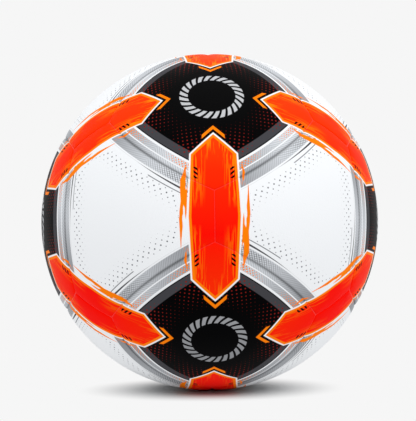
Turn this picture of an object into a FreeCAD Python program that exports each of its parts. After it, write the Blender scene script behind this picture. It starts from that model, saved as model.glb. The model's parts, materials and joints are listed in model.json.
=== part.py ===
"""Inflated soccer ball, size 5, with a bonded cover.

Six four-sided panels with bowed seams sit on the axes of a cube, and eight six-sided panels fill the octants
between them. Each panel is a thin skin turned down round a foam pad and bonded to a rubberised lining, with
a web of sealing compound between the panels. Inside the lining lie a layer of wound thread and the bladder,
which carries balance discs and a moulded valve boot. The valve core pulls out of the boot.

The origin is the ball's centre. +Z is up, the front faces -Y, and the valve looks out along +X.
"""

import FreeCAD, Part
import math
import os

from FreeCAD import Placement, Rotation, Vector

# The ball's size and its layers, from the outside in (mm)
BALL_RADIUS = 110.0
SKIN_THICKNESS = 0.8
FOAM_THICKNESS = 2.8
LINING_THICKNESS = 1.0
WINDING_THICKNESS = 0.6
BLADDER_THICKNESS = 0.7
GLUE_LINE = 0.1

# Panel layout (degrees on the sphere)
SQUARE_REACH = 36.5  # from a four-sided panel's centre to its corners
SEAM_BOW = 3.2  # how far its seams bow out beyond the straight line between the corners
LAYOUT_LEAN = 6.1  # how far the layout leans back about X
QUARTER_TURN = 90.0  # between neighbouring four-sided panels, which face along a cube's axes

# Seams (mm)
SEAM_GAP = 0.6
SHOULDER_BEVEL = 1.0
WEB_CLEARANCE = 0.1
WEB_DEPTH = 1.2

# Balance discs on the bladder's inner face (mm)
DISC_RADIUS = 16.0
DISC_THICKNESS = 1.0
COUNTERWEIGHT_THICKNESS = 2.3

# Valve boot (mm)
COLLAR_RADIUS = 4.6
COLLAR_CLEARANCE = 0.2
COLLAR_RECESS = 0.35
FLANGE_RADIUS = 16.0
FLANGE_THICKNESS = 1.0
COLLAR_ROUNDING = 0.5
BARREL_RADIUS = 6.5
BARREL_ROUNDING = 2.0
BARREL_WALL_PAST_CORE = 1.0

# Valve core (mm)
CORE_HEAD_RADIUS = 3.1
CORE_HEAD_THICKNESS = 1.2
CORE_HEAD_RECESS = 0.1
CORE_HEAD_ROUNDING = 0.4
CORE_STEM_RADIUS = 2.2
CORE_STEM_LENGTH = 12.0
CORE_TIP_RADIUS = 1.5
CORE_TIP_LENGTH = 2.0
CORE_CLEARANCE = 0.05
NEEDLE_RADIUS = 1.0
NEEDLE_DEPTH = 8.0
NEEDLE_LEAD_IN = 0.5

# Bodies that cut others
PAST = 5.0  # how far one runs past what it cuts (mm)
BEVEL_RING_HEIGHT = 3 * PAST
PATCH_REACH = 55.0  # half the width of the stretch of shell that a panel or disc is cut from (degrees)
TOUCHING = 1e-6  # places this close are the same one (mm)

# Radii that follow
FOAM_OUTER = BALL_RADIUS - SKIN_THICKNESS - GLUE_LINE
PANEL_BASE = FOAM_OUTER - FOAM_THICKNESS
LINING_OUTER = PANEL_BASE - GLUE_LINE
LINING_INNER = LINING_OUTER - LINING_THICKNESS
WINDING_OUTER = LINING_INNER - GLUE_LINE
WINDING_INNER = WINDING_OUTER - WINDING_THICKNESS
BLADDER_OUTER = WINDING_INNER - GLUE_LINE
BLADDER_INNER = BLADDER_OUTER - BLADDER_THICKNESS
DISC_OUTER = BLADDER_INNER - GLUE_LINE
VALVE_HOLE_RADIUS = COLLAR_RADIUS + COLLAR_CLEARANCE

# Places along the valve axis that follow
COLLAR_FACE = BALL_RADIUS - COLLAR_RECESS
CORE_FACE = COLLAR_FACE - CORE_HEAD_RECESS
CORE_SHOULDER = CORE_FACE - CORE_HEAD_THICKNESS
CORE_STEM_END = CORE_SHOULDER - CORE_STEM_LENGTH
CORE_TIP = CORE_STEM_END - CORE_TIP_LENGTH
BARREL_END = CORE_TIP - BARREL_WALL_PAST_CORE

CENTRE = Vector(0, 0, 0)
X, Y, Z = Vector(1, 0, 0), Vector(0, 1, 0), Vector(0, 0, 1)


def around_the_valve_axis(degrees):
    """A direction square to the valve axis, counted upwards from the front and leaning with the layout."""
    angle = math.radians(degrees + LAYOUT_LEAN)
    return Vector(0, -math.cos(angle), math.sin(angle))


VALVE = X
FRONT_TOP = around_the_valve_axis(QUARTER_TURN / 2)
BACK_TOP = around_the_valve_axis(QUARTER_TURN * 3 / 2)


def facing(axis, side):
    """The turn that takes Z to axis and X towards side."""
    across = axis.cross(side).normalize()
    return Rotation(across.cross(axis), across, axis, "ZXY")


def facing_octant(first, second, third):
    """The turn that takes the octant between X, Y and Z to the one between three panel centres."""
    if first.cross(second).dot(third) < 0:
        first, second = second, first
    return Rotation(first, second, third, "ZXY")


SQUARES = {
    "square_front_top": facing(FRONT_TOP, VALVE),
    "square_front_bottom": facing(-BACK_TOP, VALVE),
    "square_back_top": facing(BACK_TOP, VALVE),
    "square_back_bottom": facing(-FRONT_TOP, VALVE),
    "square_left": facing(-VALVE, FRONT_TOP),
    "square_right": facing(VALVE, FRONT_TOP),
}
HEXAGONS = {
    "hexagon_top_left": facing_octant(-VALVE, FRONT_TOP, BACK_TOP),
    "hexagon_top_right": facing_octant(VALVE, FRONT_TOP, BACK_TOP),
    "hexagon_front_left": facing_octant(-VALVE, FRONT_TOP, -BACK_TOP),
    "hexagon_front_right": facing_octant(VALVE, FRONT_TOP, -BACK_TOP),
    "hexagon_back_left": facing_octant(-VALVE, -FRONT_TOP, BACK_TOP),
    "hexagon_back_right": facing_octant(VALVE, -FRONT_TOP, BACK_TOP),
    "hexagon_bottom_left": facing_octant(-VALVE, -FRONT_TOP, -BACK_TOP),
    "hexagon_bottom_right": facing_octant(VALVE, -FRONT_TOP, -BACK_TOP),
}
DISC_PLACES = {
    "front_top": FRONT_TOP,
    "front_bottom": -BACK_TOP,
    "back_top": BACK_TOP,
    "back_bottom": -FRONT_TOP,
}


def bowed_seam():
    """A bowed seam is part of a circle on the ball, through two corners and the seam's bowed middle.

    Returns how far the circle's axis leans past the panel's centre, away from the seam, and its half
    angle."""
    reach = math.radians(SQUARE_REACH)
    middle = math.atan(math.tan(reach) * math.cos(math.pi / 4)) + math.radians(SEAM_BOW)
    rise = math.cos(middle) - math.cos(reach)
    run = math.sin(middle) - math.sin(reach) * math.cos(math.pi / 4)
    lean = math.atan2(rise, run)
    return lean, lean + middle


def hollow_sphere(outer, inner):
    """A whole spherical shell."""
    return Part.makeSphere(outer).cut(Part.makeSphere(inner))


def shell_patch(outer, inner, middle, pole):
    """A wide stretch of shell round middle. Its poles lie square to middle, along pole."""
    width = 2 * PATCH_REACH
    patch = Part.makeSphere(outer, CENTRE, Z, -PATCH_REACH, PATCH_REACH, width).cut(Part.makeSphere(inner))
    return turned(patch, facing(pole, middle) * Rotation(Z, -PATCH_REACH))


def seam_bevel(half_angle, axis, side, inwards):
    """A ring of three corners over a round seam about axis, which bevels the panel on one side of the seam.

    inwards is 1 for the panel that holds the axis and -1 for its neighbour. Its joint line faces side."""
    outwards = Vector(math.sin(half_angle), 0, math.cos(half_angle))
    away = Vector(-outwards.z, 0, outwards.x) * inwards
    slope = (outwards + away).normalize() * PAST
    neck = outwards * (BALL_RADIUS - SHOULDER_BEVEL)
    low, high = neck - slope, neck + slope
    corners = [low, high, low + outwards * BEVEL_RING_HEIGHT, low]
    ring = Part.Face(Part.makePolygon(corners)).revolve(CENTRE, Z, 360)
    return turned(ring, facing(axis, side))


def bowed_seams(inset):
    """Half angle, axis and outward direction of the four seams of the four-sided panel that faces Z."""
    lean, half_angle = bowed_seam()
    for side in (X + Y, X - Y, -X + Y, -X - Y):
        outward = side.normalize()
        yield half_angle - inset / BALL_RADIUS, Z * math.cos(lean) - outward * math.sin(lean), outward


def square_pyramid(height, inset):
    """The space inside a four-sided panel's seams, each pulled in by inset, from the ball's centre out.

    It faces Z with corners to X and Y."""
    pyramid = None
    for half_angle, axis, outward in bowed_seams(inset):
        cone = Part.makeCone(0, height * math.tan(half_angle), height)
        cone.Placement = Placement(CENTRE, facing(axis, -outward))
        pyramid = cone if pyramid is None else pyramid.common(cone)
    return pyramid


def square_block(outer, inner, inset, bevelled=False):
    """Shell inside a four-sided panel's seams, each pulled in by inset, facing Z with corners to X and Y."""
    block = shell_patch(outer, inner, Z, X).common(square_pyramid(outer + PAST, inset))
    if bevelled:
        for half_angle, axis, outward in bowed_seams(inset):
            block = block.cut(seam_bevel(half_angle, axis, -outward, 1))
    return block


def hexagon_block(outer, inner, inset, bevelled=False):
    """Shell inside a six-sided panel's seams, each pulled in by inset, in the octant between X, Y and Z."""
    block = shell_patch(outer, inner, (X + Y + Z).normalize(), (X - Y).normalize())
    pyramid = square_pyramid(outer + PAST, -inset)
    width = 2 * (outer + PAST)
    for axis, side in ((X, Y), (Y, Z), (Z, X)):
        turn = facing(axis, side)
        half_space = Part.makeBox(width, width, width, Vector(-width / 2, -width / 2, inset))
        block = block.common(turned(half_space, turn)).cut(turned(pyramid, turn))
        if bevelled:
            block = block.cut(seam_bevel(math.pi / 2 - inset / BALL_RADIUS, axis, -side, 1))
            half_angle, seam_axis, outward = next(bowed_seams(-inset))
            ring = seam_bevel(half_angle, seam_axis, -outward, -1)
            block = block.cut(turned(ring, turn))
    return block


def turned(shape, turn):
    """A copy of the shape, turned about the ball's centre."""
    copy = shape.copy()
    copy.Placement = Placement(CENTRE, turn) * shape.Placement
    return copy


def rod(radius, start, end, direction=VALVE):
    """A plain round bar along a direction from the ball's centre."""
    return Part.makeCylinder(radius, end - start, direction * start, direction)


def valve_hole():
    """The opening for the boot's collar, through every layer."""
    return rod(VALVE_HOLE_RADIUS, BLADDER_INNER - PAST, BALL_RADIUS + PAST)


def panel_skin(block):
    """A skin turned down round its foam pad, with bevelled shoulders at the seams."""
    skin = block(BALL_RADIUS, PANEL_BASE, SEAM_GAP / 2, bevelled=True)
    return skin.cut(block(BALL_RADIUS - SKIN_THICKNESS, PANEL_BASE - PAST, SEAM_GAP / 2 + SKIN_THICKNESS))


def panel_foam(block):
    """The foam pad that fills a skin's tray."""
    return block(FOAM_OUTER, PANEL_BASE, SEAM_GAP / 2 + SKIN_THICKNESS + GLUE_LINE)


def panels():
    """Every panel's skin and foam pad, by name."""
    for places, block in ((SQUARES, square_block), (HEXAGONS, hexagon_block)):
        skin, foam = panel_skin(block), panel_foam(block)
        for name, turn in places.items():
            yield f"{name}_skin", turned(skin, turn)
            yield f"{name}_foam", turned(foam, turn)


def seam_web():
    """The web of sealing compound that stands in the seams on the lining.

    It is a ring round each four-sided panel and a bar between each two neighbouring rings."""
    outer, inner = BALL_RADIUS - WEB_DEPTH, LINING_OUTER + GLUE_LINE
    half = SEAM_GAP / 2 - WEB_CLEARANCE
    ring = square_block(outer, inner, -half).cut(square_block(outer + PAST, inner - PAST, half))
    span = QUARTER_TURN - 2 * SQUARE_REACH
    bar = Part.makeSphere(outer, CENTRE, Z, -PATCH_REACH, PATCH_REACH, span).cut(Part.makeSphere(inner))
    bar = turned(bar, Rotation(Z, SQUARE_REACH))
    width = 2 * (outer + PAST)
    bar = bar.common(Part.makeBox(width, width, 2 * half, Vector(-width / 2, -width / 2, -half)))
    rings = [turned(ring, turn) for turn in SQUARES.values()]
    bars = []
    for normal, side in ((VALVE, FRONT_TOP), (FRONT_TOP, BACK_TOP), (BACK_TOP, VALVE)):
        for quarter in range(4):
            bars.append(turned(bar, facing(normal, side) * Rotation(Z, quarter * QUARTER_TURN)))
    return rings[0].fuse(rings[1:] + bars).removeSplitter()


def disc(radius, thickness, direction, side):
    """A round patch that follows the bladder's inner face. Its poles lie along side, square to direction."""
    patch = shell_patch(DISC_OUTER, DISC_OUTER - thickness, direction, side)
    return patch.common(rod(radius, DISC_OUTER / 2, BALL_RADIUS, direction))


def with_round_rim(solid, rounding, along, radius):
    """The solid with the rim of this radius, this far along the valve axis, rounded."""
    rim = [edge for edge in solid.Edges if edge.Closed and is_rim(edge, along, radius)]
    return solid.makeFillet(rounding, rim)


def is_rim(edge, along, radius):
    """Whether every point of the edge is this far along the valve axis and this far from it."""
    ends = (edge.FirstParameter, edge.LastParameter, (edge.FirstParameter + edge.LastParameter) / 2)
    places = [edge.valueAt(end) for end in ends]
    return all(math.dist((p.x, math.hypot(p.y, p.z)), (along, radius)) < TOUCHING for p in places)


def valve_boot():
    """The moulded boot: a collar through the cover, a flange inside the bladder, a barrel round the core."""
    collar = rod(COLLAR_RADIUS, DISC_OUTER - FLANGE_THICKNESS, COLLAR_FACE)
    collar = with_round_rim(collar, COLLAR_ROUNDING, COLLAR_FACE, COLLAR_RADIUS)
    barrel = rod(BARREL_RADIUS, BARREL_END, DISC_OUTER - FLANGE_THICKNESS / 2)
    barrel = with_round_rim(barrel, BARREL_ROUNDING, BARREL_END, BARREL_RADIUS)
    boot = disc(FLANGE_RADIUS, FLANGE_THICKNESS, VALVE, FRONT_TOP).fuse([collar, barrel])
    seat = rod(CORE_HEAD_RADIUS + CORE_CLEARANCE, CORE_SHOULDER - CORE_CLEARANCE, BALL_RADIUS)
    bore = rod(CORE_STEM_RADIUS + CORE_CLEARANCE, BARREL_END - PAST, BALL_RADIUS)
    return boot.cut(seat).cut(bore).removeSplitter()


def valve_core():
    """The plug that pulls out of the boot, turned round the valve axis, with a blind needle guide."""
    outline = [
        (CORE_FACE, NEEDLE_RADIUS + NEEDLE_LEAD_IN),
        (CORE_FACE, CORE_HEAD_RADIUS),
        (CORE_SHOULDER, CORE_HEAD_RADIUS),
        (CORE_SHOULDER, CORE_STEM_RADIUS),
        (CORE_STEM_END, CORE_STEM_RADIUS),
        (CORE_TIP, CORE_TIP_RADIUS),
        (CORE_TIP, 0),
        (CORE_FACE - NEEDLE_LEAD_IN - NEEDLE_DEPTH, 0),
        (CORE_FACE - NEEDLE_LEAD_IN - NEEDLE_DEPTH, NEEDLE_RADIUS),
        (CORE_FACE - NEEDLE_LEAD_IN, NEEDLE_RADIUS),
    ]
    points = [Vector(along, radius, 0) for along, radius in [*outline, outline[0]]]
    core = Part.Face(Part.makePolygon(points)).revolve(CENTRE, VALVE, 360)
    return with_round_rim(core, CORE_HEAD_ROUNDING, CORE_FACE, CORE_HEAD_RADIUS)


def subparts():
    """Every node's name and solid."""
    hole = valve_hole()
    for name, solid in panels():
        yield name, solid.cut(hole) if name.startswith("square_right") else solid
    yield "seam_web", seam_web()
    yield "textile_lining", hollow_sphere(LINING_OUTER, LINING_INNER).cut(hole)
    yield "thread_winding", hollow_sphere(WINDING_OUTER, WINDING_INNER).cut(hole)
    yield "bladder", hollow_sphere(BLADDER_OUTER, BLADDER_INNER).cut(hole)
    for name, direction in DISC_PLACES.items():
        yield f"balance_disc_{name}", disc(DISC_RADIUS, DISC_THICKNESS, direction, VALVE)
    yield "counterweight_disc", disc(DISC_RADIUS, COUNTERWEIGHT_THICKNESS, -VALVE, FRONT_TOP)
    yield "valve_boot", valve_boot()
    yield "valve_core", valve_core()


def main():
    os.makedirs("parts", exist_ok=True)
    for name, solid in subparts():
        if not solid.isValid() or len(solid.Solids) != 1:
            raise RuntimeError(f"{name}: {len(solid.Solids)} solids, valid {solid.isValid()}")
        solid.exportStep(f"parts/{name}.step")
        print(f"{name}: {solid.Volume:.0f} mm3")


main()
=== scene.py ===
"""Looks of the soccer ball: modelled skins and foam pads on the fixed frame, the print, and the studio.

The print is worked out from where a point lies between the panels' seams, so it runs on over every seam.
Lengths are metres and angles are degrees, unless a name says otherwise.
"""

import json
import math
from itertools import pairwise

import bmesh
import bpy
from mathutils import Matrix, Vector


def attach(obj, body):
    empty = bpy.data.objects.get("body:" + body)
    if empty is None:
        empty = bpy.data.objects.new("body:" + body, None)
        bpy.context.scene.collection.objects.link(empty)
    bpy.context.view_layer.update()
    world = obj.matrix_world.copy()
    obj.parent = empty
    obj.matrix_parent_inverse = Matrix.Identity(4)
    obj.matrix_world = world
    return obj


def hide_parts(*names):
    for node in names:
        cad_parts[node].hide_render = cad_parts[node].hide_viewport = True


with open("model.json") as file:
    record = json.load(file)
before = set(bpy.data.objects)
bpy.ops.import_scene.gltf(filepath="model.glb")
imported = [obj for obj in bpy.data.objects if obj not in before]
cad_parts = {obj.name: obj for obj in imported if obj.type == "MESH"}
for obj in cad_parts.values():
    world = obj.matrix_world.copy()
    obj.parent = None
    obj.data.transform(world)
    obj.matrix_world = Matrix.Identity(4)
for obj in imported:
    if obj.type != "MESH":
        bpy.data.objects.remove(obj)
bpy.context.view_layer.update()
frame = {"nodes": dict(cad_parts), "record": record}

MM = 0.001
MOUNTS = {mount["name"]: mount for mount in frame["record"]["mounts"]}
BALL_RADIUS = -MOUNTS["ground_contact"]["pos_m"][2]

# Panel layout and layers, as in the frame
SQUARE_REACH = 36.5  # from a four-sided panel's centre to its corners
SEAM_BOW = 3.2  # how far its seams bow out beyond the straight line between the corners
LAYOUT_LEAN = 6.1  # how far the layout leans back about the valve axis
QUARTER_TURN = 90.0
SEAM_GAP = 0.6 * MM
SKIN_THICKNESS = 0.8 * MM
GLUE_LINE = 0.1 * MM
FOAM_THICKNESS = 2.8 * MM
PANEL_DEPTH = SKIN_THICKNESS + GLUE_LINE + FOAM_THICKNESS
VALVE_HOLE_RADIUS = 4.8 * MM

# How a skin rolls down at its seams and round the valve hole
LIP_GAP = 0.42 * MM  # between two skins' rolled lips, which come close to the web of sealing compound
ROLL_WIDTH = 6.5 * MM
ROLL_DEPTH = 0.75 * MM
ROLL_CORNER_POWER = 8  # how sharply the rolls of two seams meet at a corner
SHOULDER_WIDTH = 0.7 * MM
SHOULDER_DEPTH = 0.2 * MM
HOLE_ROLL = 0.5 * MM
PUFF_WIDTH = 26 * MM
PUFF_DEPTH = 0.26 * MM

# How a foam pad is rounded at its cut edge, and crowned
FOAM_ROUNDING = 0.8 * MM
FOAM_CROWN_WIDTH = 20 * MM
FOAM_CROWN = 0.2 * MM

# Rows of points in a face: at these lengths from a seam, and evenly from there to the panel's centre
EDGE_ROWS = [length * MM for length in (0, 0.12, 0.35, 0.7, 1.2, 1.9, 2.8, 3.9, 5.2, 6.6)]
INNER_ROWS = 18
FOAM_EDGE_ROWS = [length * MM for length in (0, 0.05, 0.15, 0.35, 0.8, 1.6)]
FOAM_INNER_ROWS = 9
ROW_LENGTH = 60 * MM  # about the way from a panel's centre to its corners
SAME_POINT = 0.01 * MM
SHARP_EDGE = 40  # edges that turn by more than this stay sharp


def around_the_valve_axis(degrees):
    """A direction square to the valve axis, counted upwards from the front and leaning with the layout."""
    angle = math.radians(degrees + LAYOUT_LEAN)
    return Vector((0, -math.cos(angle), math.sin(angle)))


VALVE = Vector((1, 0, 0))
FRONT_TOP = around_the_valve_axis(QUARTER_TURN / 2)
BACK_TOP = around_the_valve_axis(QUARTER_TURN * 3 / 2)


def bowed_seam():
    """How far the axis of a bowed seam's circle leans past the panel's centre, and its half angle."""
    reach = math.radians(SQUARE_REACH)
    middle = math.atan(math.tan(reach) * math.cos(math.pi / 4)) + math.radians(SEAM_BOW)
    rise = math.cos(middle) - math.cos(reach)
    run = math.sin(middle) - math.sin(reach) * math.cos(math.pi / 4)
    lean = math.atan2(rise, run)
    return lean, lean + middle


SEAM_LEAN, SEAM_ANGLE = bowed_seam()


class Side:
    """One seam of a panel: a circle on the ball, pulled in by inset.

    inside is 1 where the panel lies within the circle, and -1 where it lies outside it.
    """

    def __init__(self, axis, half_angle, inside, inset):
        self.axis = axis.normalized()
        self.half_angle = half_angle - inside * inset / BALL_RADIUS
        self.inside = inside

    def depth(self, direction):
        """How far a direction lies inside the panel from this seam, along the ball's surface."""
        return self.inside * (self.half_angle - self.axis.angle(direction)) * BALL_RADIUS

    def nearest(self, direction):
        """The point of the circle that is nearest to a direction."""
        across = (direction - self.axis * direction.dot(self.axis)).normalized()
        return self.axis * math.cos(self.half_angle) + across * math.sin(self.half_angle)

    def arc(self, start, end, share):
        """The point at a share of the way along the circle from start to end."""
        across = (start - self.axis * start.dot(self.axis)).normalized()
        over = self.axis.cross(across)
        turn = math.atan2(end.dot(over), end.dot(across)) * share
        swung = across * math.cos(turn) + over * math.sin(turn)
        return self.axis * math.cos(self.half_angle) + swung * math.sin(self.half_angle)


def meeting_point(one, other, near):
    """Where two sides' circles cross, on the side of near."""
    dot = one.axis.dot(other.axis)
    reach, other_reach = math.cos(one.half_angle), math.cos(other.half_angle)
    share, other_share = reach - other_reach * dot, other_reach - reach * dot
    flat = (one.axis * share + other.axis * other_share) / (1 - dot * dot)
    rise = one.axis.cross(other.axis).normalized() * math.sqrt(1 - flat.length_squared)
    return flat + rise if rise.dot(near) > 0 else flat - rise


class Panel:
    """The outline of a panel, with every seam pulled in by inset."""

    def __init__(self, centre, circles, inset):
        self.centre = centre.normalized()
        self.sides = [Side(*circle, inset) for circle in circles]
        following = self.sides[1:] + self.sides[:1]
        self.corners = [meeting_point(one, other, self.centre) for one, other in zip(self.sides, following)]
        self.middles = [side.nearest(self.centre) for side in self.sides]

    def depths(self, direction):
        """How far a direction lies inside the panel from each of its seams."""
        return [side.depth(direction) for side in self.sides]


def square_circles(facing, corner, other_corner):
    """The four seams round a four-sided panel, in order."""
    circles = []
    for first, second in ((1, 1), (-1, 1), (-1, -1), (1, -1)):
        outward = (corner * first + other_corner * second).normalized()
        circles.append((facing * math.cos(SEAM_LEAN) - outward * math.sin(SEAM_LEAN), SEAM_ANGLE, 1))
    return circles


def hexagon_circles(a, b, c):
    """The six seams round the panel between the directions a, b and c, in order."""
    circles = []
    for near, following, opposite in ((a, b, c), (b, c, a), (c, a, b)):
        outward = (following + opposite).normalized()
        circles.append((near * math.cos(SEAM_LEAN) - outward * math.sin(SEAM_LEAN), SEAM_ANGLE, -1))
        circles.append((opposite, math.pi / 2, 1))
    return circles


def roll(depths):
    """How far a skin's face drops where it lies this deep inside its seams."""
    rolls = sum(max(0, 1 - depth / ROLL_WIDTH) ** ROLL_CORNER_POWER for depth in depths)
    edge = min(1, rolls ** (1 / ROLL_CORNER_POWER))
    shoulder = max(0, 1 - min(depths) / SHOULDER_WIDTH)
    puff = max(0, 1 - min(depths) / PUFF_WIDTH)
    drop = ROLL_DEPTH * (1 - math.sqrt(1 - edge**2))
    return drop + SHOULDER_DEPTH * shoulder**2 + PUFF_DEPTH * puff**2


def foam_edge(depths):
    """How far a foam pad's outer face drops where it lies this deep inside its edges."""
    depth = min(depths)
    cut = FOAM_ROUNDING - min(FOAM_ROUNDING, max(0, depth))
    crown = max(0, 1 - depth / FOAM_CROWN_WIDTH)
    return FOAM_ROUNDING - math.sqrt(FOAM_ROUNDING**2 - cut**2) + FOAM_CROWN * crown**2


def rows(edge_rows, inner_rows):
    """Shares of the way from a panel's centre to its seam, close together near the seam."""
    near = [1 - length / ROW_LENGTH for length in edge_rows]
    return [near[-1] * row / inner_rows for row in range(inner_rows)] + near[::-1]


def patch(panel, index, shares):
    """A grid of directions between the panel's centre, two sides' middles and the corner between them."""
    following = (index + 1) % len(panel.sides)
    side, far_side = panel.sides[index], panel.sides[following]
    middle, far_middle = panel.middles[index], panel.middles[following]
    centre, corner = panel.centre, panel.corners[index]
    grid = []
    for up in shares:
        left, right = centre.slerp(far_middle, up), side.arc(middle, corner, up)
        line = []
        for out in shares:
            low, high = centre.slerp(middle, out), far_side.arc(far_middle, corner, out)
            flat = centre * (1 - out) * (1 - up) + middle * out * (1 - up) + far_middle * (1 - out) * up
            flat = flat + corner * out * up
            line.append((low * (1 - up) + high * up + left * (1 - out) + right * out - flat).normalized())
        grid.append(line)
    return grid


def outline(panel, shares):
    """Directions round the panel's edge, in order, and the first one again."""
    loop = []
    for index, side in enumerate(panel.sides):
        middle, corner, before = panel.middles[index], panel.corners[index], panel.corners[index - 1]
        loop += [side.arc(middle, before, share) for share in shares[:0:-1]]
        loop += [side.arc(middle, corner, share) for share in shares[:-1]]
    return [*loop, loop[0]]


def hole_edge(towards, radius):
    """The point of the valve hole's wall that lies towards a direction, at this distance from the centre."""
    across = (towards - VALVE * towards.dot(VALVE)).normalized()
    return VALVE * math.sqrt(radius**2 - VALVE_HOLE_RADIUS**2) + across * VALVE_HOLE_RADIUS


def add_grid(mesh, grid, flip=False):
    """Quads between the points of a grid."""
    corners = [[mesh.verts.new(point) for point in line] for line in grid]
    for low, high in pairwise(corners):
        for (a, b), (d, c) in zip(pairwise(low), pairwise(high)):
            mesh.faces.new((d, c, b, a) if flip else (a, b, c, d))


class Face:
    """The outer or inner face of a skin or a pad.

    height is a function of the depths inside the seams, and gives the distance from the ball's centre.
    hole_radius is that distance at the edge of the valve hole.
    """

    def __init__(self, panel, height, hole_radius, shares):
        self.panel, self.height, self.hole_radius, self.shares = panel, height, hole_radius, shares
        self.loop = outline(panel, shares)

    def point(self, direction):
        """The face's point in a direction."""
        return direction * self.height(self.panel.depths(direction))

    def border(self):
        """The points of the face's edge, in order."""
        return [self.point(direction) for direction in self.loop]

    def grids(self):
        """Grids of points that cover the face."""
        for index in range(len(self.panel.sides)):
            grid = patch(self.panel, index, self.shares)
            yield [[self.point(direction) for direction in line] for line in grid]

    def grid_round_hole(self):
        """One grid of points that covers the face, from the valve hole out."""
        grid = []
        for far in self.loop:
            start = hole_edge(far, self.hole_radius)
            towards = start.normalized()
            grid.append([start] + [self.point(towards.slerp(far, share)) for share in self.shares[1:]])
        return grid


def closed_piece(name, outer, inner, wall, with_hole):
    """An object with an outer and an inner face, and a wall of rows of points between their borders."""
    mesh = bmesh.new()
    if with_hole:
        top, under = outer.grid_round_hole(), inner.grid_round_hole()
        add_grid(mesh, top, flip=True)
        add_grid(mesh, under)
        add_grid(mesh, [[line[0] for line in top], [line[0] for line in under]])
    else:
        for top, under in zip(outer.grids(), inner.grids()):
            add_grid(mesh, top)
            add_grid(mesh, under, flip=True)
    add_grid(mesh, [outer.border(), *wall, inner.border()])
    bmesh.ops.remove_doubles(mesh, verts=mesh.verts, dist=SAME_POINT)
    bmesh.ops.recalc_face_normals(mesh, faces=mesh.faces)
    data = bpy.data.meshes.new(name)
    mesh.to_mesh(data)
    mesh.free()
    data.shade_smooth()
    data.set_sharp_from_angle(angle=math.radians(SHARP_EDGE))
    piece = bpy.data.objects.new(name, data)
    bpy.context.scene.collection.objects.link(piece)
    return piece


def skin(name, make_panel, with_hole):
    """A closed skin: rolled face, walls down to the lining, and the hollow that holds the foam."""
    shares = rows(EDGE_ROWS, INNER_ROWS)
    lip = BALL_RADIUS - ROLL_DEPTH - PUFF_DEPTH - SKIN_THICKNESS
    base, ceiling = BALL_RADIUS - PANEL_DEPTH, BALL_RADIUS - SKIN_THICKNESS
    outer_panel, hollow_panel = make_panel(LIP_GAP / 2), make_panel(SEAM_GAP / 2 + SKIN_THICKNESS)
    face = Face(outer_panel, lambda depths: BALL_RADIUS - roll(depths), BALL_RADIUS - HOLE_ROLL, shares)
    hollow = Face(hollow_panel, lambda depths: ceiling, ceiling, shares)
    steps = ((face.loop, lip), (face.loop, base), (hollow.loop, base))
    wall = [[direction * radius for direction in loop] for loop, radius in steps]
    return closed_piece(name, face, hollow, wall, with_hole)


def foam_pad(name, make_panel, with_hole):
    """A pad of foam that fills a skin's hollow: crowned, with rounded edges, flat on the lining."""
    shares = rows(FOAM_EDGE_ROWS, FOAM_INNER_ROWS)
    panel = make_panel(SEAM_GAP / 2 + SKIN_THICKNESS + GLUE_LINE)
    top, base = BALL_RADIUS - SKIN_THICKNESS - GLUE_LINE, BALL_RADIUS - PANEL_DEPTH
    outer = Face(panel, lambda depths: top - foam_edge(depths), top, shares)
    inner = Face(panel, lambda depths: base, base, shares)
    return closed_piece(name, outer, inner, [], with_hole)


def square_panel(facing, corner, other_corner):
    """A function that makes the four-sided panel's outline, pulled in by an inset."""
    circles = square_circles(facing, corner, other_corner)
    return lambda inset: Panel(facing, circles, inset)


def hexagon_panel(a, b, c):
    """A function that makes the six-sided panel's outline, pulled in by an inset."""
    circles = hexagon_circles(a, b, c)
    return lambda inset: Panel(a + b + c, circles, inset)


SQUARES = {
    "square_front_top": square_panel(FRONT_TOP, VALVE, BACK_TOP),
    "square_front_bottom": square_panel(-BACK_TOP, VALVE, FRONT_TOP),
    "square_back_top": square_panel(BACK_TOP, VALVE, FRONT_TOP),
    "square_back_bottom": square_panel(-FRONT_TOP, VALVE, BACK_TOP),
    "square_left": square_panel(-VALVE, FRONT_TOP, BACK_TOP),
    "square_right": square_panel(VALVE, FRONT_TOP, BACK_TOP),
}
HEXAGONS = {
    "hexagon_top_left": hexagon_panel(-VALVE, FRONT_TOP, BACK_TOP),
    "hexagon_top_right": hexagon_panel(VALVE, FRONT_TOP, BACK_TOP),
    "hexagon_front_left": hexagon_panel(-VALVE, FRONT_TOP, -BACK_TOP),
    "hexagon_front_right": hexagon_panel(VALVE, FRONT_TOP, -BACK_TOP),
    "hexagon_back_left": hexagon_panel(-VALVE, -FRONT_TOP, BACK_TOP),
    "hexagon_back_right": hexagon_panel(VALVE, -FRONT_TOP, BACK_TOP),
    "hexagon_bottom_left": hexagon_panel(-VALVE, -FRONT_TOP, -BACK_TOP),
    "hexagon_bottom_right": hexagon_panel(VALVE, -FRONT_TOP, -BACK_TOP),
}
PANEL_WITH_VALVE = "square_right"


# Fields: numbers that vary over a surface, written as formulas

class Field:
    """A number that varies over a surface. Fields add and multiply, each time with a node."""

    def __init__(self, socket):
        self.socket = socket

    def math(self, operation, *others, clamp=False):
        """The field after an operation of the maths node, with other fields or numbers."""
        node = self.socket.id_data.nodes.new("ShaderNodeMath")
        node.operation = operation
        node.use_clamp = clamp
        for slot, value in zip(node.inputs, (self, *others)):
            connect(value, slot)
        return Field(node.outputs[0])

    def __add__(self, other):
        return self.math("ADD", other)

    def __radd__(self, other):
        return self.math("ADD", other)

    def __sub__(self, other):
        return self.math("SUBTRACT", other)

    def __rsub__(self, other):
        return self.math("MULTIPLY_ADD", -1, other)

    def __mul__(self, other):
        return self.math("MULTIPLY", other)

    def __rmul__(self, other):
        return self.math("MULTIPLY", other)

    def __abs__(self):
        return self.math("ABSOLUTE")


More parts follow.
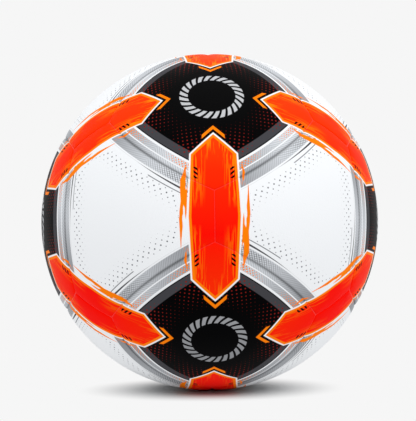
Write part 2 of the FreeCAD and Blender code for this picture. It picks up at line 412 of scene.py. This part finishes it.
def connect(value, slot):
    """Gives an input a field's value, or a plain number or colour."""
    if isinstance(value, Field):
        slot.id_data.links.new(value.socket, slot)
    else:
        slot.default_value = value


BLUR = 0.16  # how soft the print's edges are
PATTERN_BLUR = 0.35  # how soft dots and lines are, in a wave that goes from -1 to 1


def above(field, edge, blur=BLUR):
    """1 where the field is over edge, 0 where it is under, and soft between."""
    if isinstance(edge, Field):
        return (field - edge).math("MULTIPLY_ADD", 1 / blur, 0.5, clamp=True)
    return field.math("MULTIPLY_ADD", 1 / blur, 0.5 - edge / blur, clamp=True)


def below(field, edge, blur=BLUR):
    """1 where the field is under edge, 0 where it is over, and soft between."""
    if isinstance(edge, Field):
        return above(edge, field, blur)
    return field.math("MULTIPLY_ADD", -1 / blur, 0.5 + edge / blur, clamp=True)


def between(field, low, high):
    """1 where the field is over low and under high, and soft at both."""
    return above(field, low) * below(field, high)


def cosine(field, pitch):
    """A wave of this pitch."""
    return (field * math.radians(360 / pitch)).math("COSINE")


def dots(x, y, pitch, share):
    """A staggered grid of round dots. share, from 0 to 1, says how large they are."""
    wave = cosine(x + y, pitch * 2) + cosine(x - y, pitch * 2)
    return above(wave, 2 + PATTERN_BLUR / 2 - share * 2, PATTERN_BLUR)


def lines(field, pitch, share, blur=PATTERN_BLUR):
    """Parallel lines of this pitch. share, from 0 to 1, says how wide they are."""
    return above(cosine(field, pitch), 1 - share * 2, blur)


def share_of(field, start, end):
    """0 at start, 1 at end, and held there beyond them."""
    return (field - start).math("DIVIDE", end - start, clamp=True)


class Paint:
    """A colour built up in layers."""

    def __init__(self, tree, colour):
        self.tree = tree
        self.value = colour

    def over(self, colour, mask, strength=1):
        """Lays a colour over what is there, this strong where the mask is 1."""
        node = self.tree.nodes.new("ShaderNodeMix")
        node.data_type = "RGBA"
        factor, under, top = node.inputs[0], node.inputs[6], node.inputs[7]  # its sockets for colours
        connect(mask * strength, factor)
        connect(self.value, under)
        connect(colour, top)
        self.value = Field(node.outputs[2])


def new_material(name):
    """A material with one plain shader: the material, its node tree and the shader."""
    material = bpy.data.materials.new(name)
    material.use_nodes = True
    return material, material.node_tree, material.node_tree.nodes["Principled BSDF"]


def place(tree):
    """Where a point of the surface is."""
    return tree.nodes.new("ShaderNodeTexCoord").outputs["Object"]


def along(tree, vector, direction):
    """How far a vector reaches along a direction."""
    node = tree.nodes.new("ShaderNodeVectorMath")
    node.operation = "DOT_PRODUCT"
    tree.links.new(vector, node.inputs[0])
    node.inputs[1].default_value = direction
    return Field(node.outputs["Value"])


def noise(tree, scale, detail=2, at=None):
    """Cloudy noise from 0 to 1, with so many clouds to a metre of the surface, or to 1 of the vector at."""
    node = tree.nodes.new("ShaderNodeTexNoise")
    node.inputs["Scale"].default_value = scale
    node.inputs["Detail"].default_value = detail
    tree.links.new(place(tree) if at is None else at, node.inputs["Vector"])
    return Field(node.outputs["Fac"])


def cells(tree, scale):
    """Distance to the nearest of many scattered points, so many to a metre."""
    node = tree.nodes.new("ShaderNodeTexVoronoi")
    node.feature = "SMOOTH_F1"
    node.inputs["Scale"].default_value = scale
    tree.links.new(place(tree), node.inputs["Vector"])
    return Field(node.outputs["Distance"])


def patches(paint, colour, scale, cut, blur, strength, detail=2):
    """Lays a colour in cloudy patches, where the noise is over cut."""
    paint.over(colour, above(noise(paint.tree, scale, detail), cut, blur), strength)


def finish_surface(shader, paint, gloss, roughness, height, depth, clouds=90, spread=0.15):
    """Connects a colour, a gloss, a roughness that varies by spread in clouds, and a bump of this depth."""
    tree = paint.tree
    connect(paint.value, shader.inputs["Base Color"])
    shader.inputs["Specular IOR Level"].default_value = gloss
    connect(roughness + noise(tree, clouds) * spread, shader.inputs["Roughness"])
    bump = tree.nodes.new("ShaderNodeBump")
    bump.inputs["Distance"].default_value = depth
    connect(height, bump.inputs["Height"])
    tree.links.new(bump.outputs["Normal"], shader.inputs["Normal"])


# The print's colours
WHITE = (0.885, 0.905, 0.93, 1)
SILVER = (0.70, 0.73, 0.77, 1)
BLADE_SILVER = (0.52, 0.53, 0.55, 1)
GREY = (0.17, 0.175, 0.19, 1)
DOT_GREY = (0.16, 0.165, 0.18, 1)
CHARCOAL = (0.055, 0.055, 0.062, 1)
BLACK = (0.0008, 0.0008, 0.001, 1)
RED = (1.0, 0.004, 0.0005, 1)
VERMILION = (1.0, 0.062, 0.002, 1)
ORANGE = (1.0, 0.22, 0.002, 1)
DARK_RED = (0.22, 0.012, 0.008, 1)

# Colours inside the ball
FOAM = (0.80, 0.78, 0.70, 1)
FOAM_SHADE = (0.55, 0.53, 0.46, 1)
FOAM_AGED = (0.74, 0.69, 0.56, 1)
CLOTH = (0.80, 0.77, 0.68, 1)
# painted shade for the hollows of the weave
CLOTH_PAINTED_SHADE = (0.38, 0.36, 0.31, 1)
CLOTH_COAT = (0.86, 0.84, 0.78, 1)
THREAD = (0.84, 0.83, 0.77, 1)
THREAD_GAP = (0.16, 0.155, 0.14, 1)
BUTYL = (0.014, 0.014, 0.016, 1)
TALC = (0.10, 0.10, 0.105, 1)
DISC_RUBBER = (0.03, 0.03, 0.033, 1)
DISC_BLOOM = (0.09, 0.09, 0.092, 1)
BOOT_RUBBER = (0.018, 0.018, 0.02, 1)
BOOT_BLOOM = (0.07, 0.07, 0.072, 1)
CORE_RUBBER = (0.62, 0.62, 0.60, 1)
CORE_BLOOM = (0.72, 0.72, 0.70, 1)

# The print's layout, in degrees on the ball. A name that ends in FADE says where a colour starts and where it
# is full, and one that ends in CUT gives an edge and how soft it is. A SHARE says how large dots or lines
# are, and a STRENGTH how strong a colour is.

# Bands over the short seams
SHORT_SEAM = 45  # its middle, from a four-sided panel's centre
BAND_HALF_WIDTH = 8.5
BAND_TAPER = 0.05  # of the half width, to a degree along the band
BAND_TIP = 28.0  # from the short seam's middle
TIP_SLOPE = 0.95
RIM_WIDTH = 0.9
WHITE_RIM_WIDTH = 0.55
CHEVRON = (2.0, 3.4)  # from and to, ahead of the band's tip
WARM_RUN_FADE = (6, BAND_TIP + 6)  # of the vermilion, towards the tip
WARM_LOW_FADE = (-1.1, 0.4)  # by height, for what lies towards the tip
WARM_HIGH_FADE = (0, 1.1)  # by height, for all of the band
DASHES = (12.5, 16.5)  # from and to, along the band
DASH_ROW = (5.3, 6.7)  # from and to, across the band
DASH_PITCH = 1.6
DASH_SLANT = 0.8
DASH_SHARE = 0.5
DASH_BLUR = 0.6

# Brush strokes beside the bands, and finer ones within them
STROKE_CUT = (0.52, 0.03)  # in the noise
STROKE_WIDTH = 1.3
STROKE_LENGTH = 16
STROKES = (0.7, 3.2)  # from and to, outside the band
STROKES_REACH = 22  # along the band
STROKES_SLOPE = 3  # how much sooner they end, to a degree outwards
FINE_STROKE_WIDTH = 0.55
FINE_STROKE_LENGTH = 14
FINE_STROKES_RIM_CUT = (3.6, 3.6)  # from the band's edge
FINE_STROKES_RUN_CUT = (5, 5)  # along the band
FINE_STROKES_FADE = (-1.5, 0.6)  # by height

# Dark fields in the four-sided panels
FIELD_INSET = 8.2  # from the seam
BORDER_WIDTH = 3.0
BORDER_LINE_WIDTH = 0.35
FIELD_DOT_PITCH = 1.0
GLOW_FADE = (13, 26)  # from the panel's centre
GLOW_ACROSS_CUT = (12, 6)  # from the line through the corners
GLOW_SHARE = 0.6
RING = (7.9, 10.7)  # from and to, from the panel's centre
BLADE_PITCH = 15  # round the ring
BLADE_SLANT = 4  # round the ring, to a degree outwards
BLADE_CUT = (-0.3, 0.3)  # in a wave
BLADE_PAINTED_SHADE_FADE = (0.3, -0.7)  # by height: painted shade towards the ball's bottom
BLADE_PAINTED_SHADE_STRENGTH = 0.7

# Silver zones along the bowed seams
ZONE_OUTSIDE = 3.2
ZONE_CLEAR_OF_BORDER = 0.8
ZONE_INSIDE = FIELD_INSET - BORDER_WIDTH - ZONE_CLEAR_OF_BORDER
ZONE_TURN_FADE = (-6, 25)  # along the seam
ZONE_TURN_STRENGTH = 0.9
ZONE_PAINTED_SHADE_FADE = (0.1, -0.9)  # by height: painted shade towards the ball's bottom
ZONE_PAINTED_SHADE_STRENGTH = 0.5
HATCH_PITCH = 1.0
HATCH_SHARE = 0.32
HATCH_STRENGTH = 0.35
WHITE_LINE = (1.7, 2.1)  # from and to, inside the seam
EMBER_PITCH = 0.65
EMBER_REACH = 9  # from the band
EMBER_SHARE = 0.9
# Painted shade: the print is darker along every seam, where its crease falls in shade
PAINTED_SEAM_SHADE_STRENGTH = 0.55
PAINTED_SEAM_SHADE_CUT = (0.4, 0.8)  # from the seam: painted shade, darker along the seams' creases

# A net and stripes outside the bowed seams, and dots that fade into the white
NET = (0.5, 2.9)  # from and to
NET_SHARE = 0.12
NET_FADE = (0, -10)  # along the seam
NET_STRENGTH = 0.8
DARK_STRIPE = 3.8
DARK_STRIPE_WIDTH = 1.0
DARK_STRIPE_FADE = (7, -22)  # along the seam
THIN_STRIPE = (5.4, 5.7)  # from and to
THIN_STRIPE_END = 2  # along the seam
DOT_PITCH = 1.25
DOTS_START = 6.3
DOTS_CLEAR_OF_BAND = 3.4
DOTS_PAST_ZONE = 9
DOTS_PAST_BAND = 6
DOT_SHARE = 0.6

# Finish of the print. Clouds and cells are counted to a metre.
PRINT_GLOSS = 0.015
COMPOUND_GLOSS = 0.4
PRINT_ROUGHNESS = 0.38
PRINT_CLOUDS = 60
PRINT_SPREAD = 0.1
GRAIN_CELLS = 1100
GRAIN_CELLS_SHARE = 0.7
GRAIN_CLOUDS = 2600
GRAIN_DEPTH = 0.06 * MM


class PrintPlace:
    """Where a point lies on the print, in degrees.

    The layout is a cube's, so how far a point reaches along the three axes, in order of size, says where it
    lies in any panel.

    inset: from the bowed seam into the four-sided panel
    side: along the bowed seam, from its middle
    from_centre: from the four-sided panel's centre
    across: from the nearest line through the four-sided panels' corners
    from_middle: along that line, from the short seam's middle
    face_across: from that line, on a cube's face
    middle_reach: towards the four-sided panel's nearest corner
    hand: 1 on one side of each line of symmetry, and -1 on the other
    height: from -1 at the ball's bottom to 1 at its top
    """

    def __init__(self, tree):
        node = tree.nodes.new("ShaderNodeVectorMath")
        node.operation = "NORMALIZE"
        tree.links.new(place(tree), node.inputs[0])
        self.direction = node.outputs["Vector"]
        x, y, z = (along(tree, self.direction, axis) for axis in (VALVE, FRONT_TOP, BACK_TOP))
        handed = x * y * z * (abs(x) - abs(y)) * (abs(y) - abs(z)) * (abs(z) - abs(x))
        self.hand = handed.math("SIGN")
        x, y, z = abs(x), abs(y), abs(z)
        big = x.math("MAXIMUM", y).math("MAXIMUM", z)
        small = x.math("MINIMUM", y).math("MINIMUM", z)
        middle = x + y + z - big - small
        degree = math.degrees(1)
        outward = (small + middle) * (math.sin(SEAM_LEAN) / math.sqrt(2))
        turn = (big * math.cos(SEAM_LEAN) - outward).math("ARCCOSINE")
        self.inset = math.degrees(SEAM_ANGLE) - turn * degree
        self.side = ((middle - small) * (1 / math.sqrt(2))).math("ARCSINE") * degree
        self.from_centre = big.math("ARCCOSINE") * degree
        self.across = small.math("ARCSINE") * degree
        self.from_middle = SHORT_SEAM - middle.math("ARCTAN2", big) * degree
        self.face_across = small.math("ARCTAN2", big) * degree
        self.middle_reach = middle.math("ARCSINE") * degree
        self.height = along(tree, self.direction, (0, 0, 1))


def draw_strokes(paint, where, width, length, mask):
    """Orange brush strokes along a band, each about this wide and this long."""
    spot = paint.tree.nodes.new("ShaderNodeCombineXYZ")
    connect(where.across * (1 / width), spot.inputs["X"])
    connect(where.from_middle * (1 / length), spot.inputs["Y"])
    connect(where.from_middle * where.hand * (1 / STROKE_LENGTH), spot.inputs["Z"])
    strokes = noise(paint.tree, scale=1, at=spot.outputs["Vector"])
    paint.over(ORANGE, above(strokes, *STROKE_CUT) * mask)


def draw_bands(paint, where, is_square):
    """Red bands over the short seams, with orange rims and arrow-shaped ends in the four-sided panels."""
    run, across = where.from_middle, where.across
    half_width = BAND_HALF_WIDTH - run * BAND_TAPER
    tip = BAND_TIP - run - across * TIP_SLOPE
    outside = across - half_width
    edge = (-1 * outside).math("MINIMUM", tip * (1 / math.hypot(1, TIP_SLOPE)))
    within = above(edge, RIM_WIDTH)
    if is_square:
        paint.over(ORANGE, between(-1 * tip, *CHEVRON) * below(across, half_width - CHEVRON[1]))
    beside = between(outside, *STROKES) * below(run + outside * STROKES_SLOPE, STROKES_REACH)
    draw_strokes(paint, where, STROKE_WIDTH, STROKE_LENGTH, beside)
    paint.over(WHITE, above(edge, -WHITE_RIM_WIDTH))
    paint.over(ORANGE, above(edge, 0))
    paint.over(RED, within)
    warmth = share_of(run, *WARM_RUN_FADE) * share_of(where.height, *WARM_LOW_FADE)
    paint.over(VERMILION, within * warmth.math("MAXIMUM", share_of(where.height, *WARM_HIGH_FADE)))
    fine = below(edge, *FINE_STROKES_RIM_CUT) * above(run, *FINE_STROKES_RUN_CUT)
    fine = fine * share_of(where.height, *FINE_STROKES_FADE)
    draw_strokes(paint, where, FINE_STROKE_WIDTH, FINE_STROKE_LENGTH, within * fine)
    dashes = lines(run - across * DASH_SLANT, DASH_PITCH, DASH_SHARE, DASH_BLUR)
    paint.over(BLACK, dashes * between(run, *DASHES) * between(across, *DASH_ROW))


def draw_square(paint, where):
    """A charcoal border round a black field with dots in its corners, and a ring of slanted blades."""
    inset, from_centre = where.inset, where.from_centre
    border = FIELD_INSET - BORDER_WIDTH
    paint.over(CHARCOAL, above(inset, border))
    paint.over(BLACK, between(inset, border, border + BORDER_LINE_WIDTH))
    paint.over(BLACK, above(inset, FIELD_INSET))
    glow = share_of(from_centre, *GLOW_FADE) * below(where.across, *GLOW_ACROSS_CUT) * GLOW_SHARE
    glow = glow * above(inset, border + FIELD_DOT_PITCH, FIELD_DOT_PITCH)
    paint.over(DARK_RED, dots(where.side, inset, FIELD_DOT_PITCH, glow))
    around = where.hand * where.across.math("ARCTAN2", where.middle_reach) * math.degrees(1)
    blades = above(cosine(around + from_centre * BLADE_SLANT, BLADE_PITCH), *BLADE_CUT)
    ring = between(from_centre, *RING) * blades
    paint.over(BLADE_SILVER, ring)
    # painted shade: the blades darken towards the ball's bottom
    paint.over(GREY, ring * share_of(where.height, *BLADE_PAINTED_SHADE_FADE), BLADE_PAINTED_SHADE_STRENGTH)


def draw_seam_zone(paint, where):
    """Hatched silver along the bowed seams, a net, stripes, and dots that fade into the white."""
    inset, side = where.inset, where.side
    outside = -1 * inset
    turned = side * where.hand  # along the seam, the same way round every panel
    beside = where.across - BAND_HALF_WIDTH
    zone = between(inset, -ZONE_OUTSIDE, ZONE_INSIDE)
    paint.over(SILVER, zone)
    paint.over(GREY, zone * share_of(turned, *ZONE_TURN_FADE), ZONE_TURN_STRENGTH)
    # painted shade: the silver darkens towards the ball's bottom
    paint.over(GREY, zone * share_of(where.height, *ZONE_PAINTED_SHADE_FADE), ZONE_PAINTED_SHADE_STRENGTH)
    paint.over(GREY, zone * lines(side + inset, HATCH_PITCH, HATCH_SHARE), HATCH_STRENGTH)
    paint.over(WHITE, between(inset, *WHITE_LINE))
    embers = share_of(beside, EMBER_REACH, 0) * EMBER_SHARE
    paint.over(ORANGE, dots(side, inset, EMBER_PITCH, embers) * between(inset, WHITE_LINE[1], ZONE_INSIDE))
    one_way, other_way = (lines(slanted, HATCH_PITCH, NET_SHARE) for slanted in (side + inset, side - inset))
    net = one_way.math("MAXIMUM", other_way) * between(outside, *NET)
    paint.over(CHARCOAL, net * share_of(turned, *NET_FADE), NET_STRENGTH)
    taper = share_of(turned + outside, *DARK_STRIPE_FADE)
    paint.over(CHARCOAL, between(outside, DARK_STRIPE, taper * DARK_STRIPE_WIDTH + DARK_STRIPE))
    paint.over(GREY, between(outside, *THIN_STRIPE) * below(turned + outside, THIN_STRIPE_END))
    from_zone = share_of(outside, ZONE_OUTSIDE + DOTS_PAST_ZONE, ZONE_OUTSIDE)
    from_band = share_of(beside, DOTS_PAST_BAND, 0)
    fade = from_zone.math("MAXIMUM", from_band) * DOT_SHARE
    clear = above(outside, DOTS_START, DOT_PITCH) * above(beside, DOTS_CLEAR_OF_BAND, DOT_PITCH)
    paint.over(DOT_GREY, dots(side, inset, DOT_PITCH, fade * clear))


def printed_material(name, is_square=False, gloss=PRINT_GLOSS):
    """Printed polyurethane over a fine grain."""
    material, tree, shader = new_material(name)
    where = PrintPlace(tree)
    paint = Paint(tree, WHITE)
    draw_seam_zone(paint, where)
    # painted shade along the seams' creases
    paint.over(BLACK, below(abs(where.inset), *PAINTED_SEAM_SHADE_CUT), PAINTED_SEAM_SHADE_STRENGTH)
    if is_square:
        draw_square(paint, where)
    draw_bands(paint, where, is_square)
    grain = cells(tree, GRAIN_CELLS) * GRAIN_CELLS_SHARE + noise(tree, GRAIN_CLOUDS) * (1 - GRAIN_CELLS_SHARE)
    finish_surface(shader, paint, gloss, PRINT_ROUGHNESS, grain, GRAIN_DEPTH, PRINT_CLOUDS, PRINT_SPREAD)
    return material


# Weave and winding inside the ball, in degrees on it
WEAVE_PITCH = 1.2
STRANDS_TO_A_YARN = 4
STRAND_RELIEF = 0.15
THREAD_PITCH = 1.3
THREAD_PITCH_STEP = 0.1  # from one winding to the next
WINDING_AXES = ((1, 0.2, 0.1), (-0.2, 1, 0.3), (0.3, -0.25, 1), (1, 1, -0.9), (-1, 0.8, 1.1))
WINDING_CLOUDS = 30
WINDING_CLOUDS_STEP = 9
WINDING_RELIEF = 1.5


def foam_material():
    """Closed-cell foam: small cells with thin pale walls."""
    material, tree, shader = new_material("foam")
    cell = cells(tree, scale=900)
    paint = Paint(tree, FOAM)
    paint.over(FOAM_SHADE, above(cell, edge=0.45, blur=0.5), strength=0.5)
    patches(paint, FOAM_AGED, scale=40, cut=0.55, blur=0.3, strength=0.3)
    finish_surface(shader, paint, gloss=0.25, roughness=0.75, height=cell, depth=0.2 * MM)
    return material


def lining_material():
    """Woven textile under a thin rubber coat."""
    material, tree, shader = new_material("lining")
    where = PrintPlace(tree)
    warp, weft = where.from_middle - SHORT_SEAM, where.face_across
    weave = cosine(warp, WEAVE_PITCH) * cosine(weft, WEAVE_PITCH)
    thread = cosine(warp + weft, WEAVE_PITCH / STRANDS_TO_A_YARN) * STRAND_RELIEF + weave
    paint = Paint(tree, CLOTH)
    # painted shade in the hollows of the weave
    paint.over(CLOTH_PAINTED_SHADE, below(weave, edge=-0.2, blur=1.2), strength=0.7)
    patches(paint, CLOTH_COAT, scale=55, detail=4, cut=0.52, blur=0.4, strength=0.3)
    finish_surface(shader, paint, gloss=0.3, roughness=0.6, height=thread, depth=0.15 * MM)
    return material


def winding(tree, direction, number):
    """The height of one winding of thread, which waves up and down among the others."""
    latitude = along(tree, direction, Vector(WINDING_AXES[number]).normalized()).math("ARCSINE")
    strand = cosine(latitude * math.degrees(1), THREAD_PITCH + THREAD_PITCH_STEP * number)
    return strand + noise(tree, WINDING_CLOUDS + WINDING_CLOUDS_STEP * number) * WINDING_RELIEF


def thread_material():
    """Thread wound round the bladder in many directions."""
    material, tree, shader = new_material("thread")
    where = PrintPlace(tree)
    height, *others = (winding(tree, where.direction, number) for number in range(len(WINDING_AXES)))
    for other in others:
        height = height.math("MAXIMUM", other)
    paint = Paint(tree, THREAD)
    paint.over(THREAD_GAP, below(height, edge=1.35, blur=0.9))
    finish_surface(shader, paint, gloss=0.3, roughness=0.6, height=height, depth=0.2 * MM)
    return material


def rubber_material(name, colour, bloom, roughness, grain):
    """Moulded rubber with a paler bloom in patches. grain is its number of bumps to a metre."""
    material, tree, shader = new_material(name)
    paint = Paint(tree, colour)
    patches(paint, bloom, scale=35, detail=5, cut=0.55, blur=0.25, strength=0.5)
    patches(paint, bloom, scale=700, detail=3, cut=0.62, blur=0.08, strength=0.35)
    bumps = noise(tree, grain, detail=3)
    finish_surface(shader, paint, gloss=0.4, roughness=roughness, height=bumps, depth=0.06 * MM)
    return material


def put(piece, material, node):
    """Puts a modelled piece in the place of a plain one."""
    piece.data.materials.append(material)
    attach(piece, "ball")
    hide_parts(node)


def make_panels():
    """The fourteen printed skins and the foam pads under them, each in the place of its plain one."""
    foam = foam_material()
    kinds = ((SQUARES, "square_skin", True), (HEXAGONS, "hexagon_skin", False))
    for panels, slot, is_square in kinds:
        printed = printed_material(slot, is_square)
        for name, make_panel in panels.items():
            with_hole = name == PANEL_WITH_VALVE
            put(skin(f"{name}_cover", make_panel, with_hole), printed, f"{name}_skin")
            pad = foam_pad(f"{name}_pad", make_panel, with_hole)
            put(pad, foam, f"{name}_foam")


def dress(material, *nodes):
    """Gives CAD nodes a material."""
    for name in nodes:
        for slot in frame["nodes"][name].material_slots:
            slot.material = material


def dress_frame():
    """Finishes of the CAD nodes that stay."""
    dress(printed_material("seam_compound", gloss=COMPOUND_GLOSS), "seam_web")
    dress(lining_material(), "textile_lining")
    dress(thread_material(), "thread_winding")
    dress(rubber_material("butyl", BUTYL, TALC, roughness=0.45, grain=900), "bladder")
    discs = [name for name in frame["nodes"] if "disc" in name]
    dress(rubber_material("balance_rubber", DISC_RUBBER, DISC_BLOOM, roughness=0.6, grain=1500), *discs)
    dress(rubber_material("boot_rubber", BOOT_RUBBER, BOOT_BLOOM, roughness=0.5, grain=1800), "valve_boot")
    dress(rubber_material("core_rubber", CORE_RUBBER, CORE_BLOOM, roughness=0.45, grain=2400), "valve_core")


# Camera, at the photograph's angle. The picture is taken to be 416 x 421 pixels.
CAMERA_AZIMUTH = -1.667
CAMERA_ELEVATION = 3.988
CAMERA_ROLL = -0.564
CAMERA_DISTANCE = 19 * BALL_RADIUS
CAMERA_LENS = 273.06
CAMERA_RIGHT = -1.1 * MM  # how far it is moved across its picture
CAMERA_UP = 7.5 * MM
CAMERA_NEAR = 0.01
CAMERA_FAR = 100

# Studio. Near the ball the floor is painted darker as a shadow and takes the ball's real shadow too, and
# further out it is the background's colour.
BACKGROUND = (0.9216, 0.9216, 0.9216, 1)
AMBIENT = 0.90  # of the background's strength
# the floor's colour near the ball, darker than the background: a painted shadow, under the ball's real one
PAINTED_SHADOW_FLOOR = (0.48, 0.48, 0.48, 1)
PAINTED_SHADOW_FULL = 32 * MM  # from the ball's foot
PAINTED_SHADOW_GONE = 90 * MM
PAINTED_SHADOW_STRETCH = 1.33  # how much wider than deep the floor's painted shadow is
FLOOR_HALF_WIDTH = 3.0
LIGHTS = (  # each a name, a position, a size and a power in watts
    ("overhead", (0, -0.2, 1.6), 1.2, 7),
    ("front_left", (-1.5, -1.6, 0.9), 1.2, 5),
    ("front_right", (1.7, -1.0, 0.8), 1.0, 7),
)


def make_camera():
    """The camera, turned about the ball's centre and then moved a little across its picture."""
    azimuth, elevation = math.radians(CAMERA_AZIMUTH), math.radians(CAMERA_ELEVATION)
    data = bpy.data.cameras.new("camera")
    data.lens = CAMERA_LENS
    data.clip_start, data.clip_end = CAMERA_NEAR, CAMERA_FAR
    camera = bpy.data.objects.new("camera", data)
    bpy.context.scene.collection.objects.link(camera)
    turn = Matrix.Rotation(azimuth, 4, "Z") @ Matrix.Rotation(math.pi / 2 - elevation, 4, "X")
    turn = turn @ Matrix.Rotation(math.radians(CAMERA_ROLL), 4, "Z")
    camera.matrix_world = turn @ Matrix.Translation((CAMERA_RIGHT, CAMERA_UP, CAMERA_DISTANCE))
    bpy.context.scene.camera = camera


def studio_strength(tree):
    """1 for rays that show the background, directly or in a reflection, and the ambient light for others."""
    node = tree.nodes.new("ShaderNodeLightPath")
    seen = Field(node.outputs["Is Camera Ray"])
    for other in ("Is Glossy Ray", "Is Transmission Ray"):
        seen = seen.math("MAXIMUM", Field(node.outputs[other]))
    return seen.math("MULTIPLY_ADD", 1 - AMBIENT, AMBIENT)


def make_world():
    """A plain pale studio all round."""
    world = bpy.data.worlds.new("studio")
    bpy.context.scene.world = world
    world.use_nodes = True
    background = world.node_tree.nodes["Background"]
    background.inputs["Color"].default_value = BACKGROUND
    connect(studio_strength(world.node_tree), background.inputs["Strength"])


def mixed(tree, share, shader, other):
    """The output of a node that mixes two shaders' outputs by a share of the other."""
    node = tree.nodes.new("ShaderNodeMixShader")
    connect(share, node.inputs["Fac"])
    tree.links.new(shader, node.inputs[1])
    tree.links.new(other, node.inputs[2])
    return node.outputs[0]


def floor_material():
    """A floor that takes the ball's shadow and is painted darker near the ball as a shadow, and is plain
    background further out.
    """
    material = bpy.data.materials.new("floor")
    material.use_nodes = True
    tree = material.node_tree
    nodes = tree.nodes
    nodes.clear()
    diffuse = nodes.new("ShaderNodeBsdfDiffuse")
    diffuse.inputs["Color"].default_value = PAINTED_SHADOW_FLOOR
    plain = nodes.new("ShaderNodeEmission")
    plain.inputs["Color"].default_value = BACKGROUND
    connect(studio_strength(tree), plain.inputs["Strength"])
    sideways = along(tree, place(tree), (1, 0, 0))
    forwards = along(tree, place(tree), (0, PAINTED_SHADOW_STRETCH, 0))
    away = (sideways * sideways + forwards * forwards).math("SQRT")
    far = share_of(away, PAINTED_SHADOW_FULL, PAINTED_SHADOW_GONE)
    # painted shadow: the darker floor near the ball fades into plain background in a stretched round
    surface = mixed(tree, far * far * (3 - 2 * far), diffuse.outputs[0], plain.outputs[0])
    # clear from below, so that the ball's underside can be looked at
    underside = Field(nodes.new("ShaderNodeNewGeometry").outputs["Backfacing"])
    surface = mixed(tree, underside, surface, nodes.new("ShaderNodeBsdfTransparent").outputs[0])
    tree.links.new(surface, nodes.new("ShaderNodeOutputMaterial").inputs["Surface"])
    return material


def make_floor():
    """The plain floor that the ball lies on."""
    data = bpy.data.meshes.new("floor")
    half = FLOOR_HALF_WIDTH
    corners = [(-half, -half, 0), (half, -half, 0), (half, half, 0), (-half, half, 0)]
    data.from_pydata(corners, [], [(0, 1, 2, 3)])
    data.materials.append(floor_material())
    floor = bpy.data.objects.new("floor", data)
    floor.location.z = -BALL_RADIUS
    bpy.context.scene.collection.objects.link(floor)


def make_light(name, position, size, power):
    """A square soft light that faces the ball."""
    data = bpy.data.lights.new(name, "AREA")
    data.size = size
    data.energy = power
    light = bpy.data.objects.new(name, data)
    bpy.context.scene.collection.objects.link(light)
    light.location = position
    light.rotation_euler = (-Vector(position)).to_track_quat("-Z", "Y").to_euler()


def main():
    """The studio, and the ball in it."""
    bpy.context.scene.view_settings.view_transform = "Standard"
    make_camera()
    make_world()
    make_floor()
    for light in LIGHTS:
        make_light(*light)
    make_panels()
    dress_frame()


main()
